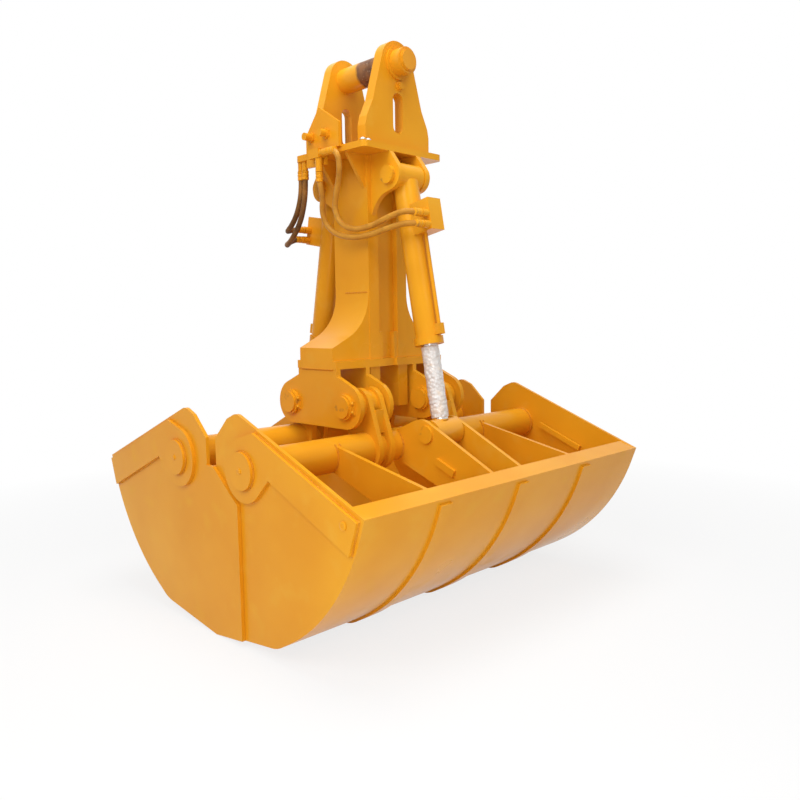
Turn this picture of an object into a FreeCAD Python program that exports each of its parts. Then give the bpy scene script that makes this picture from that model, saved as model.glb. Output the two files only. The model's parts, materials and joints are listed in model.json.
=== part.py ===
# Hydraulic clamshell bucket that hangs from an excavator stick by one hitch pin.
# Millimetres, +Z up, origin at the centre of the hitch pin. X runs along the shells' width,
# the shells open along Y: the front shell is on -Y, the rear shell on +Y.
import FreeCAD, Part
import math
import os
import Sketcher

Vector = FreeCAD.Vector
doc = FreeCAD.newDocument("ClamshellBucket")

DIMENSIONS = {
    # hitch
    "pinRadius": 45, "pinFront": 208, "pinRear": 200, "pinCapRadius": 36, "pinCapLength": 9,
    "pinFit": 0.05, "earGap": 234, "earThickness": 40, "earCrown": 75, "earBossRadius": 56,
    "earBossLength": 8, "earShoulder": 120, "earShoulderDrop": 140, "earHip": 150, "earHipDrop": 200,
    "earHalfWidth": 157, "earFootDrop": 230, "slotHalfWidth": 24, "slotTop": 100, "slotBottom": 238,
    "keeperDrop": 76, "keeperOffset": 8, "keeperHead": 13, "keeperWasher": 17,
    # head
    "platformTop": -290, "platformThickness": 22, "platformHalfX": 195, "platformHalfY": 189,
    "platformCorner": 20, "gussetY": 75, "gussetDrop": 115, "gussetThickness": 14,
    "gussetReach": 82, "columnHalfX": 95, "columnHalfY": 93, "recessHalf": 47, "recessDepth": 22, "columnWall": 16,
    "recessFoot": -935, "neckHalf": 28, "tailFoot": -1215,
    "flareTop": -798, "flareRadius": 170, "flareTurn": 65, "flareWall": 15, "footHalfX": 271,
    "footTop": -1033, "footThickness": 28, "footHalfY": 107, "flareHalfY": 91, "footNotch": 14,
    # hinges
    "hingeY": 150, "hingeZ": -1188, "bracketLobe": 78, "bracketThickness": 18, "bracketSkirt": 24,
    "bracketInner": 112, "bracketOuter": 250, "hingePinRadius": 32, "hingeHeadRadius": 45,
    "hingeHeadLength": 14, "hingeCapRadius": 38, "hingeCapLength": 8, "hingePinTail": 4,
    "hingeFit": 0.05, "hingeGap": 3,
    "armInner": 140, "armOuter": 195, "armThickness": 20, "armEye": 62, "armHub": 50, "armRing": 77,
    # shells
    "tubeY": 186, "tubeZ": -1337, "tubeRadius": 58.5, "tubeWall": 12, "shellHalfWidth": 700,
    "plateThickness": 12, "lapGap": 0.5, "closingGap": 2, "floorZ": -1903, "floorAngle": 7.5,
    "bendY": 272, "bendRadius": 139, "wallY": 26, "wallZ": -1206, "wallRadius": 713,
    "lipAngle": 19.7, "lipStraight": 55, "skinThickness": 14, "lipWidth": 65, "lipThickness": 16,
    "edgeWidth": 112, "edgeThickness": 22, "apexY": 142, "apexZ": -1212, "apexRadius": 42,
    "notchY": 90, "notchZ": -1188, "slotY": 18, "slotZ": -1256, "slotFloor": -1346,
    "lapY": 150, "lapZ": -1450, "lapRadius": 112, "doublerRadius": 100, "doublerThickness": 12,
    "hubRadius": 59, "hubThickness": 12, "strapThickness": 8, "strapWidth": 50, "strapPitch": 370,
    "strapShift": 15,
    "ribThickness": 16, "ribX": 75, "outerRibX": 375, "ribDepth": 150, "ribArch": 370,
    "ribArchY": 430, "ribArchZ": -1860, "bossY": 328, "bossZ": -1312, "bossRadius": 76,
    # cylinders
    "upperY": 186, "upperZ": -392, "rodEyeY": 355, "rodEyeZ": -1285, "upperEyeRadius": 45,
    "upperEyeHalf": 55, "lugGap": 2, "lugThickness": 20, "lugEye": 50, "lugHollow": 100,
    "lugFoot": -520, "upperPinRadius": 25, "upperPinHead": 31, "upperPinHeadLength": 16,
    "barrelRadius": 45, "boreRadius": 35, "barrelLength": 600, "glandRadius": 52, "glandLength": 26,
    "capLength": 62, "rodRadius": 28, "slideGap": 0.3, "pistonLength": 38, "pistonStop": 6,
    "rodEyeRadius": 46, "rodEyeBore": 36, "rodEyeHalf": 62, "rodPinRadius": 20, "rodPinHead": 31,
    "rodPinHeadLength": 8, "filmThickness": 5, "filmGap": 4, "portTop": 111, "portLength": 109,
    "portDepth": 74, "portHalf": 32, "fittingRadius": 14, "fittingLength": 28, "fittingPitch": 38,
    "fittingDrop": 164, "fittingStandoff": 60, "pipeRadius": 7, "pipeGap": 6, "pipeFoot": 40,
    # hoses
    "hosePlate": 12, "hosePlateRear": 105, "hosePlateFoot": -345, "hosePlateRearTop": -235,
    "hosePlatePeakY": 30, "hosePlatePeakZ": -148, "hosePlateFront": -74, "hosePlateFrontTop": -213,
    "hosePlateStepY": 2, "hosePlateStepZ": -295, "manifoldDepth": 28, "manifoldTop": -293,
    "manifoldHeight": 32, "manifoldFront": 5, "manifoldLength": 55, "outletRadius": 13,
    "outletLength": 41, "dropLength": 47, "dropY": 18, "rearDropX": -178, "rearDropY": 152,
    "rearDropPitch": 24, "rearDropLength": 30, "hoseRadius": 10, "hoseGap": 0.5,
    "nippleRadius": 13, "nippleLength": 26, "nippleHex": 19, "nippleHexLength": 8,
    "nippleY": 32, "nipplePitch": 84, "nippleZ": -244,
}

sheet = doc.addObject("Spreadsheet::Sheet", "Dims")
for row, (alias, value) in enumerate(DIMENSIONS.items(), start=1):
    sheet.set(f"A{row}", alias)
    sheet.set(f"B{row}", str(value))
    sheet.setAlias(f"B{row}", alias)
doc.recompute()

PLANES = {"XY": ("XY_Plane", "z"), "XZ": ("XZ_Plane", "y"), "YZ": ("YZ_Plane", "x")}


class Expression(str):
    """A formula over the sheet's cells that can be added, scaled and evaluated."""

    def __add__(self, other):
        return Expression(f"({self} + {other})")

    def __sub__(self, other):
        return Expression(f"({self} - {other})")

    def __mul__(self, other):
        return Expression(f"({self} * {other})")

    def __truediv__(self, other):
        return Expression(f"({self} / {other})")

    def __neg__(self):
        return Expression(f"(0 - {self})")

    def value(self):
        found = sheet.evalExpression(str(self))
        return float(getattr(found, "Value", found))


def dim(alias):
    return Expression(f"Dims.{alias}")


def formula(value):
    return value if isinstance(value, Expression) else Expression(str(value))


def number(value):
    return formula(value).value()


def bind(target, path, value):
    target.setExpression(path, str(formula(value)))


def place(target, x=0, y=0, z=0):
    for axis, value in (("x", x), ("y", y), ("z", z)):
        bind(target, f"Placement.Base.{axis}", value)
    return target


# ---- outlines: points and circles joined by straight lines tangent to the circles ----

def corner(x, y):
    return {"x": formula(x), "y": formula(y), "radius": None, "turn": 0}


def bend(x, y, radius, turn=1):
    return {"x": formula(x), "y": formula(y), "radius": formula(radius), "turn": turn}


def tangent_ends(first, second):
    start = Vector(first["x"].value(), first["y"].value(), 0)
    end = Vector(second["x"].value(), second["y"].value(), 0)
    start_radius = first["turn"] * number(first["radius"]) if first["turn"] else 0
    end_radius = second["turn"] * number(second["radius"]) if second["turn"] else 0
    along = end - start
    lean = math.asin((end_radius - start_radius) / along.Length)
    heading = math.atan2(along.y, along.x) - lean
    side = Vector(math.sin(heading), -math.cos(heading), 0)
    return start + side * start_radius, end + side * end_radius


def hold(sketch, geometry, point, x, y):
    for kind, value in (("DistanceX", x), ("DistanceY", y)):
        index = sketch.addConstraint(Sketcher.Constraint(kind, -1, 1, geometry, point, number(value)))
        bind(sketch, f"Constraints[{index}]", value)


def draw_outline(sketch, nodes):
    count = len(nodes)
    lines = []
    for index in range(count):
        start, end = tangent_ends(nodes[index], nodes[(index + 1) % count])
        lines.append((start, end, sketch.addGeometry(Part.LineSegment(start, end))))
    for index, node in enumerate(nodes):
        before = lines[index - 1]
        after = lines[index]
        if not node["turn"]:
            sketch.addConstraint(Sketcher.Constraint("Coincident", before[2], 2, after[2], 1))
            hold(sketch, after[2], 1, node["x"], node["y"])
            continue
        centre = Vector(node["x"].value(), node["y"].value(), 0)
        angles = [math.atan2((p - centre).y, (p - centre).x) for p in (before[1], after[0])]
        if node["turn"] < 0:
            angles.reverse()
        circle = Part.Circle(centre, Vector(0, 0, 1), number(node["radius"]))
        arc = sketch.addGeometry(Part.ArcOfCircle(circle, angles[0], angles[1]))
        first, last = ((1, 2), (2, 1))[node["turn"] < 0]
        sketch.addConstraint(Sketcher.Constraint("Tangent", before[2], 2, arc, first))
        sketch.addConstraint(Sketcher.Constraint("Tangent", arc, last, after[2], 1))
        hold(sketch, arc, 3, node["x"], node["y"])
        radius = sketch.addConstraint(Sketcher.Constraint("Radius", arc, number(node["radius"])))
        bind(sketch, f"Constraints[{radius}]", node["radius"])


def draw_circle(sketch, x, y, radius):
    centre = Vector(number(x), number(y), 0)
    circle = sketch.addGeometry(Part.Circle(centre, Vector(0, 0, 1), number(radius)))
    hold(sketch, circle, 3, formula(x), formula(y))
    index = sketch.addConstraint(Sketcher.Constraint("Radius", circle, number(radius)))
    bind(sketch, f"Constraints[{index}]", radius)


# ---- solids ----

def body_on(label):
    made = doc.addObject("PartDesign::Body", label)
    made.AllowCompound = True
    return made


def sketch_on(owner, plane, outlines=(), circles=()):
    role = PLANES[plane][0]
    made = owner.newObject("Sketcher::SketchObject", f"{owner.Name}Sketch")
    support = [item for item in owner.Origin.OriginFeatures if item.Role == role]
    made.AttachmentSupport = [(support[0], "")]
    made.MapMode = "FlatFace"
    for outline in outlines:
        draw_outline(made, outline)
    for x, y, radius in circles:
        draw_circle(made, x, y, radius)
    return made


def extrude(owner, kind, sketch, length):
    made = owner.newObject(f"PartDesign::{kind}", f"{owner.Name}{kind}")
    made.Profile = sketch
    made.SideType = "Symmetric"
    bind(made, "Length", length)
    return made


def plate(label, plane, thickness, at=0, outlines=(), circles=()):
    """A flat piece centred on `at` along the normal of its plane."""
    made = body_on(label)
    extrude(made, "Pad", sketch_on(made, plane, outlines, circles), thickness)
    return place(made, **{PLANES[plane][1]: at})


def turned(label, profile):
    """A round piece about its own Z axis, from a profile of radius and height."""
    made = body_on(label)
    sketch = sketch_on(made, "XZ", [profile])
    lathe = made.newObject("PartDesign::Revolution", f"{label}Revolution")
    lathe.Profile = sketch
    lathe.ReferenceAxis = (sketch, ["V_Axis"])
    lathe.Angle = 360
    return made


TURNS = {
    "X": FreeCAD.Rotation(Vector(0, 1, 0), 90),
    "Y": FreeCAD.Rotation(Vector(1, 0, 0), -90),
    "Z": FreeCAD.Rotation(),
}


def lay(made, axis, x=0, y=0, z=0):
    made.Placement = FreeCAD.Placement(Vector(), TURNS[axis])
    return place(made, x, y, z)


def stepped(*steps):
    """The profile of a solid of revolution: (radius, from, to) for each step, bottom first."""
    nodes = [corner(0, steps[0][1])]
    for radius, low, high in steps:
        nodes.append(corner(radius, low))
        nodes.append(corner(radius, high))
    nodes.append(corner(0, steps[-1][2]))
    return nodes


def cylinder(label, axis, radius, length, x=0, y=0, z=0):
    made = doc.addObject("Part::Cylinder", label)
    bind(made, "Radius", radius)
    bind(made, "Height", length)
    return lay(made, axis, x, y, z)


def hexagon(label, axis, radius, length, x=0, y=0, z=0):
    made = doc.addObject("Part::Prism", label)
    made.Polygon = 6
    bind(made, "Circumradius", radius)
    bind(made, "Height", length)
    return lay(made, axis, x, y, z)


def box(label, x, y, z):
    """A block given by its (low, high) limits along X, Y and Z."""
    made = doc.addObject("Part::Box", label)
    for side, (low, high) in (("Length", x), ("Width", y), ("Height", z)):
        bind(made, side, formula(high) - formula(low))
    return place(made, x[0], y[0], z[0])


def boolean(kind, label, base, tool):
    made = doc.addObject(f"Part::{kind}", label)
    made.Base = base
    made.Tool = tool
    return made


def group(label, *members):
    made = doc.addObject("Part::Compound", label)
    made.Links = list(members)
    return made


def mirror(label, source, normal):
    made = doc.addObject("Part::Mirroring", label)
    made.Source = source
    made.Normal = normal
    return made


def half_turn(label, source):
    made = group(label, source)
    made.Placement = FreeCAD.Placement(Vector(), FreeCAD.Rotation(Vector(0, 0, 1), 180))
    return made


LEFT_RIGHT = Vector(1, 0, 0)
FRONT_REAR = Vector(0, 1, 0)
NODES = []


def node(made):
    NODES.append(made)
    return made


# ---- fixed head ----

def ear(label, side):
    half = dim("earHalfWidth")
    base = dim("platformTop")
    right = [
        (half, base), (half, -dim("earFootDrop")), (dim("earHip"), -dim("earHipDrop")),
        (dim("earShoulder"), -dim("earShoulderDrop")),
    ]
    outline = [corner(x, z) for x, z in right] + [bend(0, 0, dim("earCrown"))]
    outline += [corner(-x, z) for x, z in reversed(right)]
    slot = [bend(0, -dim(end) + dim("slotHalfWidth") * sign, dim("slotHalfWidth"))
            for end, sign in (("slotTop", -1), ("slotBottom", 1))]
    hole = (0, 0, dim("pinRadius") + dim("pinFit"))
    middle = (dim("earGap") + dim("earThickness")) / 2 * side
    face = (dim("earGap") / 2 + dim("earThickness") + dim("earBossLength") / 2) * side
    web = plate(f"{label}_web", "XZ", dim("earThickness"), middle, [outline, slot], [hole])
    ring = [(0, 0, dim("earBossRadius")), hole]
    boss = plate(f"{label}_boss", "XZ", dim("earBossLength"), face, circles=ring)
    return node(group(label, web, boss))


def hitch_pin():
    front = -dim("pinFront")
    tip = front - dim("pinCapLength")
    steps = [(dim("pinCapRadius") - 3, tip, tip + 3), (dim("pinCapRadius"), tip + 3, front),
             (dim("pinRadius") - 2, front, front + 2), (dim("pinRadius"), front + 2, dim("pinRear"))]
    return node(lay(turned("hitch_pin", stepped(*steps)), "Y"))


def pin_keeper():
    face = -(dim("earGap") / 2 + dim("earThickness"))
    at = {"x": dim("keeperOffset"), "z": -dim("keeperDrop")}
    washer = cylinder("keeper_washer", "Y", dim("keeperWasher"), 4, y=face - 4, **at)
    head = hexagon("keeper_head", "Y", dim("keeperHead"), 10, y=face - 14, **at)
    return node(group("pin_keeper", washer, head))


PLATFORM_FOOT = dim("platformTop") - dim("platformThickness")


def rectangle(x, y):
    return [corner(-x, -y), corner(x, -y), corner(x, y), corner(-x, y)]


def head_platform():
    inset = dim("platformCorner")
    x = dim("platformHalfX") - inset
    y = dim("platformHalfY") - inset
    outline = [bend(-x, -y, inset), bend(x, -y, inset), bend(x, y, inset), bend(-x, y, inset)]
    middle = dim("platformTop") - dim("platformThickness") / 2
    deck = plate("platform_deck", "XY", dim("platformThickness"), middle, [outline])
    column = dim("columnHalfX")
    triangle = [corner(-column - dim("gussetReach"), PLATFORM_FOOT),
                corner(-column, PLATFORM_FOOT - dim("gussetDrop")), corner(-column, PLATFORM_FOOT)]
    gussets = []
    for name, side in (("front", -1), ("rear", 1)):
        left = plate(f"gusset_{name}", "XZ", dim("gussetThickness"), dim("gussetY") * side, [triangle])
        gussets += [left, mirror(f"gusset_{name}_right", left, LEFT_RIGHT)]
    return node(group("head_platform", deck, *gussets))


def column():
    x = dim("columnHalfX")
    y = dim("columnHalfY")
    recess = dim("recessHalf")
    floor = y - dim("recessDepth")
    quarter = [(x, y), (recess, y), (recess, floor)]
    outline = [corner(a, b) for a, b in quarter] + [corner(-a, b) for a, b in reversed(quarter)]
    outline += [corner(-a, -b) for a, b in quarter] + [corner(a, -b) for a, b in reversed(quarter)]
    hollow = rectangle(x - dim("columnWall"), floor - dim("columnWall"))
    length = PLATFORM_FOOT - dim("footTop")
    middle = dim("footTop") + length / 2
    members = [plate("column_shaft", "XY", length, middle, [outline, hollow])]
    foot = (dim("footTop"), dim("recessFoot"))
    for name, side in (("front", -1), ("rear", 1)):
        near, far = sorted(((floor * side), (dim("flareHalfY") * side)), key=number)
        strip = box(f"neck_{name}", (dim("neckHalf"), recess), (near, far), foot)
        members += [strip, mirror(f"neck_{name}_left", strip, LEFT_RIGHT)]
    wing = flare_wing()
    members += [wing, mirror("flare_right", wing, LEFT_RIGHT)]
    return node(group("column", *members))


def flare_wing():
    x = dim("columnHalfX")
    foot = dim("footTop")
    wall = dim("flareWall")
    centre_x = -(x + dim("flareRadius") + 2)
    centre_z = dim("flareTop")
    band = centre_z - dim("flareRadius") - 20
    outer = [corner(-dim("footHalfX"), foot), corner(-x, foot), corner(-x, centre_z + 20),
             bend(centre_x, centre_z, dim("flareRadius"), -1), corner(-dim("footHalfX"), band)]
    inner = [corner(-dim("footHalfX") + wall, foot - 1), corner(-x, foot - 1),
             corner(-x, centre_z - 82), bend(centre_x, centre_z, dim("flareRadius") + wall, -1),
             corner(-dim("footHalfX") + wall, band - wall)]
    made = body_on("flare_left")
    extrude(made, "Pad", sketch_on(made, "XZ", [outer]), dim("flareHalfY") * 2)
    hollow = (dim("flareHalfY") - wall) * 2
    extrude(made, "Pocket", sketch_on(made, "XZ", [inner]), hollow)
    return made


FLANGE_FOOT = dim("footTop") - dim("footThickness")


def foot_flange():
    x = dim("footHalfX")
    y = dim("footHalfY")
    neck = dim("neckHalf")
    floor = y - dim("footNotch")
    quarter = [(x, y), (neck, y), (neck, floor)]
    outline = [corner(a, b) for a, b in quarter] + [corner(-a, b) for a, b in reversed(quarter)]
    outline += [corner(-a, -b) for a, b in quarter] + [corner(a, -b) for a, b in reversed(quarter)]
    middle = dim("footTop") - dim("footThickness") / 2
    flange = plate("flange_plate", "XY", dim("footThickness"), middle, [outline])
    depth = (-dim("columnHalfY"), dim("columnHalfY"))
    height = (dim("tailFoot"), FLANGE_FOOT)
    tail = box("tail_right", (dim("recessHalf"), dim("columnHalfX")), depth, height)
    return node(group("foot_flange", flange, tail, mirror("tail_left", tail, LEFT_RIGHT)))


def bracket(label, middle):
    skirt = FLANGE_FOOT - dim("bracketSkirt")
    half = dim("footHalfY")
    lobes = [bend(dim("hingeY") * side, dim("hingeZ"), dim("bracketLobe")) for side in (-1, 1)]
    outline = [corner(-half, FLANGE_FOOT), corner(-half, skirt), *lobes]
    outline += [corner(half, skirt), corner(half, FLANGE_FOOT)]
    hole = dim("hingePinRadius") + dim("hingeFit")
    holes = [(dim("hingeY") * side, dim("hingeZ"), hole) for side in (-1, 1)]
    return node(plate(label, "YZ", dim("bracketThickness"), middle, [outline], holes))


def brackets():
    inner = dim("bracketInner") + dim("bracketThickness") / 2
    outer = dim("bracketOuter") + dim("bracketThickness") / 2
    bracket("bracket_left_outer", -outer)
    bracket("bracket_left_inner", -inner)
    bracket("bracket_right_inner", inner)
    bracket("bracket_right_outer", outer)


def hinge_pins():
    inner = dim("bracketInner")
    outer = dim("bracketOuter") + dim("bracketThickness")
    for name, face, end in (("left", -outer, -inner), ("right", inner, outer)):
        cap = face - dim("hingeHeadLength")
        steps = [(dim("hingeCapRadius"), cap - dim("hingeCapLength"), cap),
                 (dim("hingeHeadRadius"), cap, face),
                 (dim("hingePinRadius"), face, end + dim("hingePinTail"))]
        for place_name, side in (("front", -1), ("rear", 1)):
            pin = turned(f"hinge_pin_{place_name}_{name}", stepped(*steps))
            node(lay(pin, "X", y=dim("hingeY") * side, z=dim("hingeZ")))


def cylinder_lugs():
    top = PLATFORM_FOOT
    face = dim("columnHalfY")
    hollow = dim("lugHollow")
    outline = [corner(-face, top), corner(-dim("platformHalfY"), top),
               bend(-dim("upperY"), dim("upperZ"), dim("lugEye")),
               bend(-face - hollow - 2, dim("lugFoot") - 25, hollow, -1), corner(-face, dim("lugFoot"))]
    middle = dim("upperEyeHalf") + dim("lugGap") + dim("lugThickness") / 2
    hole = (-dim("upperY"), dim("upperZ"), dim("upperPinRadius") + dim("pinFit"))
    right = plate("lug_right", "YZ", dim("lugThickness"), middle, [outline], [hole])
    front = node(group("cylinder_lugs_front", right, mirror("lug_left", right, LEFT_RIGHT)))
    node(mirror("cylinder_lugs_rear", front, FRONT_REAR))


def cylinder_pins():
    face = dim("upperEyeHalf") + dim("lugGap") + dim("lugThickness")
    steps = [(dim("upperPinHead"), -face - dim("upperPinHeadLength"), -face),
             (dim("upperPinRadius"), -face, face + 6)]
    pin = lay(turned("cylinder_pin_front", stepped(*steps)), "X", y=-dim("upperY"), z=dim("upperZ"))
    node(pin)
    node(mirror("cylinder_pin_rear", pin, FRONT_REAR))


def hose_bracket():
    rear = dim("hosePlateRear")
    foot = dim("hosePlateFoot")
    outline = [corner(0, foot - 2), corner(rear, foot), corner(rear, dim("hosePlateRearTop")),
               corner(dim("hosePlatePeakY"), dim("hosePlatePeakZ")),
               corner(dim("hosePlateFront"), dim("hosePlateFrontTop")),
               corner(dim("hosePlateFront"), dim("hosePlateStepZ")),
               corner(dim("hosePlateStepY"), dim("hosePlateStepZ") - 5)]
    edge = -dim("platformHalfX")
    face = edge - dim("hosePlate")
    sheet_metal = plate("hose_plate", "YZ", dim("hosePlate"), edge - dim("hosePlate") / 2, [outline])
    front = dim("manifoldFront")
    low = dim("manifoldTop") - dim("manifoldHeight")
    manifold = box("manifold", (face - dim("manifoldDepth"), face),
                   (front, front + dim("manifoldLength")), (low, dim("manifoldTop")))
    middle_x = face - dim("manifoldDepth") / 2
    middle_z = dim("manifoldTop") - dim("manifoldHeight") / 2
    outlet = cylinder("outlet_front", "Y", dim("outletRadius"), dim("outletLength"),
                      middle_x, front - dim("outletLength"), middle_z)
    drop = cylinder("outlet_down", "Z", dim("outletRadius"), dim("dropLength"),
                    middle_x, dim("dropY"), low - dim("dropLength"))
    members = [sheet_metal, manifold, outlet, drop]
    for index in range(2):
        y = dim("rearDropY") + dim("rearDropPitch") * index
        members.append(cylinder(f"outlet_rear_{index + 1}", "Z", dim("outletRadius") - 2,
                                dim("rearDropLength"), dim("rearDropX"), y,
                                PLATFORM_FOOT - dim("rearDropLength")))
    for index, side in enumerate((-1, 1), start=1):
        at = {"y": dim("nippleY") + dim("nipplePitch") / 2 * side, "z": dim("nippleZ")}
        base = face - dim("nippleHexLength")
        nut = hexagon(f"nipple_nut_{index}", "X", dim("nippleHex"), dim("nippleHexLength"), x=base, **at)
        spigot = cylinder(f"nipple_{index}", "X", dim("nippleRadius"), dim("nippleLength"),
                          x=base - dim("nippleLength"), **at)
        members += [nut, spigot]
    return node(group("hose_bracket", *members))


# ---- shells ----

SPAN_LOW = -(dim("shellHalfWidth") - dim("lapGap") - dim("plateThickness"))
SPAN_HIGH = dim("shellHalfWidth")
SPAN = SPAN_HIGH - SPAN_LOW
SPAN_MIDDLE = (SPAN_HIGH + SPAN_LOW) / 2
LIP_COS = Expression("cos(Dims.lipAngle * 1deg)")
LIP_SIN = Expression("sin(Dims.lipAngle * 1deg)")
FLOOR_TAN = Expression("tan(Dims.floorAngle * 1deg)")
FLOOR_COS = Expression("cos(Dims.floorAngle * 1deg)")
LIP_UNDER = dim("lipStraight") - dim("lipThickness")


def lip_point(inset, rise):
    """A point above the shell's wall arc, `rise` along the wall and `inset` inwards from its face."""
    reach = dim("wallRadius") - inset
    y = -(dim("wallY") + LIP_COS * reach + LIP_SIN * rise)
    return corner(y, dim("wallZ") - LIP_SIN * reach + LIP_COS * rise)


def floor_height(distance, lift=0):
    return dim("floorZ") + FLOOR_TAN * distance + formula(lift) / FLOOR_COS


def wall_bend(inset, turn=1):
    return bend(-dim("wallY"), dim("wallZ"), dim("wallRadius") - inset, turn)


def floor_bend(inset, turn=1):
    height = floor_height(dim("bendY"), dim("bendRadius"))
    return bend(-dim("bendY"), height, dim("bendRadius") - inset, turn)


def wall_strip(outer, inner):
    """The section of a sheet that follows the shell's wall and floor between two insets."""
    end = dim("edgeWidth")
    return [lip_point(outer, LIP_UNDER), wall_bend(outer), floor_bend(outer),
            corner(-end, floor_height(end, outer)), corner(-end, floor_height(end, inner)),
            floor_bend(inner, -1), wall_bend(inner, -1), lip_point(inner, LIP_UNDER)]


def bucket_skin():
    skin = plate("skin_sheet", "YZ", SPAN, SPAN_MIDDLE, [wall_strip(formula(0), dim("skinThickness"))])
    members = [skin]
    for index in (-1, 0, 1):
        middle = dim("strapPitch") * index - dim("strapShift")
        section = wall_strip(-dim("strapThickness"), formula(0))
        members.append(plate(f"strap_{index + 2}", "YZ", dim("strapWidth"), middle, [section]))
    return group("front_skin", *members)


def own_half():
    """The end plate's outline from the slot beside the middle round to the floor's bend."""
    return [corner(-dim("slotY"), dim("slotFloor")), corner(-dim("slotY"), dim("slotZ")),
            corner(-dim("notchY"), dim("notchZ")),
            bend(-dim("apexY"), dim("apexZ"), dim("apexRadius")),
            lip_point(formula(0), dim("lipStraight")), wall_bend(formula(0)), floor_bend(formula(0))]


def end_plates():
    gap = dim("closingGap")
    thickness = dim("plateThickness")
    under = [corner(-gap, floor_height(gap)), corner(-gap, dim("slotFloor")), *own_half()]
    over = [corner(0, dim("floorZ")), corner(dim("lapY"), floor_height(dim("lapY"))),
            corner(dim("lapY"), dim("lapZ")), bend(dim("tubeY"), dim("tubeZ"), dim("lapRadius"), -1),
            corner(dim("slotY"), dim("slotFloor")), *own_half()]
    inner = SPAN_LOW - thickness / 2
    outer = SPAN_HIGH + thickness / 2
    return (plate("front_end_plate_under", "YZ", thickness, inner, [under]),
            plate("front_end_plate_over", "YZ", thickness, outer, [over]))


def end_doublers():
    tube = (-dim("tubeY"), dim("tubeZ"))
    outline = [bend(*tube, dim("doublerRadius")), corner(-240, -1217), corner(-697, -1404),
               corner(-664, -1500), corner(-315, -1350)]
    members = []
    thickness = dim("doublerThickness")
    for name, face, side in (("near", SPAN_LOW - dim("plateThickness"), -1),
                             ("far", SPAN_HIGH + dim("plateThickness"), 1)):
        at = face + thickness / 2 * side
        members.append(plate(f"doubler_{name}", "YZ", thickness, at, [outline]))
        disc = [(*tube, dim("hubRadius"))]
        at = face + (thickness + dim("hubThickness") / 2) * side
        members.append(plate(f"hub_{name}", "YZ", dim("hubThickness"), at, circles=disc))
    return group("front_doublers", *members)


def torque_tube():
    tube = (-dim("tubeY"), dim("tubeZ"))
    rings = [(*tube, dim("tubeRadius")), (*tube, dim("tubeRadius") - dim("tubeWall"))]
    return plate("front_torque_tube", "YZ", SPAN, SPAN_MIDDLE, circles=rings)


def cutting_edge():
    near = dim("closingGap")
    far = dim("edgeWidth")
    thick = dim("edgeThickness")
    outline = [corner(-near, floor_height(near)), corner(-near, floor_height(near, thick)),
               corner(-far, floor_height(far, thick)), corner(-far, floor_height(far))]
    return plate("front_cutting_edge", "YZ", SPAN, SPAN_MIDDLE, [outline])


def lip_bar():
    top = dim("lipStraight")
    outline = [lip_point(dim("lipWidth"), top), lip_point(formula(0), top),
               lip_point(formula(0), LIP_UNDER), lip_point(dim("lipWidth"), LIP_UNDER)]
    return plate("front_lip", "YZ", SPAN, SPAN_MIDDLE, [outline])


def shell_ribs():
    skin = dim("skinThickness")
    ceiling = dim("apexZ") + 100
    edge = lip_point(skin, LIP_UNDER)
    floor = floor_height(dim("edgeWidth"), skin)
    inside = plate("shell_inside", "YZ", SPAN, SPAN_MIDDLE, [[
        edge, wall_bend(skin), floor_bend(skin), corner(-dim("edgeWidth"), floor),
        corner(-dim("closingGap"), floor), corner(-dim("closingGap"), ceiling),
        corner(edge["x"], ceiling)]])
    tube = plate("tube_solid", "YZ", SPAN, SPAN_MIDDLE,
                 circles=[(-dim("tubeY"), dim("tubeZ"), dim("tubeRadius"))])
    arch = bend(-dim("ribArchY"), dim("ribArchZ"), dim("ribArch"), -1)
    start = [corner(-dim("tubeY"), dim("tubeZ") - 40), corner(-dim("tubeY"), dim("tubeZ") + 45)]
    finish = [lip_point(dim("lipWidth"), LIP_UNDER), lip_point(formula(-20), LIP_UNDER),
              lip_point(formula(-20), LIP_UNDER - dim("ribDepth")), arch]
    boss = [bend(-dim("bossY"), dim("bossZ"), dim("bossRadius"))]
    eye = [(-dim("rodEyeY"), dim("rodEyeZ"), dim("rodPinRadius") + dim("pinFit"))]
    made = []
    for name, spacing, hump, holes in (("outer", "outerRibX", [], []), ("rod", "ribX", boss, eye)):
        right = plate(f"{name}_rib", "YZ", dim("ribThickness"), dim(spacing), [start + hump + finish],
                      holes)
        pair = group(f"{name}_pair", right, mirror(f"{name}_rib_left", right, LEFT_RIGHT))
        trimmed = boolean("Common", f"{name}_trimmed", pair, inside)
        made.append(boolean("Cut", f"front_{name}_ribs", trimmed, tube))
    return made


def hinge_arm():
    eye = (-dim("hingeY"), dim("hingeZ"))
    tube = (-dim("tubeY"), dim("tubeZ"))
    outline = [bend(*eye, dim("armEye")), bend(*tube, dim("armRing"))]
    holes = [(*eye, dim("armHub")), (*tube, dim("tubeRadius"))]
    low = dim("bracketInner") + dim("bracketThickness") + dim("hingeGap")
    high = dim("bracketOuter") - dim("hingeGap")
    rings = [(*eye, dim("armHub")), (*eye, dim("hingePinRadius") + dim("hingeFit"))]
    members = [plate("arm_hub", "YZ", high - low, (high + low) / 2, circles=rings)]
    thick = dim("armThickness")
    for name in ("armInner", "armOuter"):
        at = dim(name) + thick / 2
        members.append(plate(f"{name}_plate", "YZ", thick, at, [outline], holes))
    web_y = (-dim("tubeY") - 40, -dim("tubeY") - 28)
    web_z = (dim("tubeZ") + 57, dim("hingeZ") - 12)
    members.append(box("arm_web", (dim("armInner") + thick, dim("armOuter")), web_y, web_z))
    right = group("front_arm_right", *members)
    return right, mirror("front_arm_left", right, LEFT_RIGHT)


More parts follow.
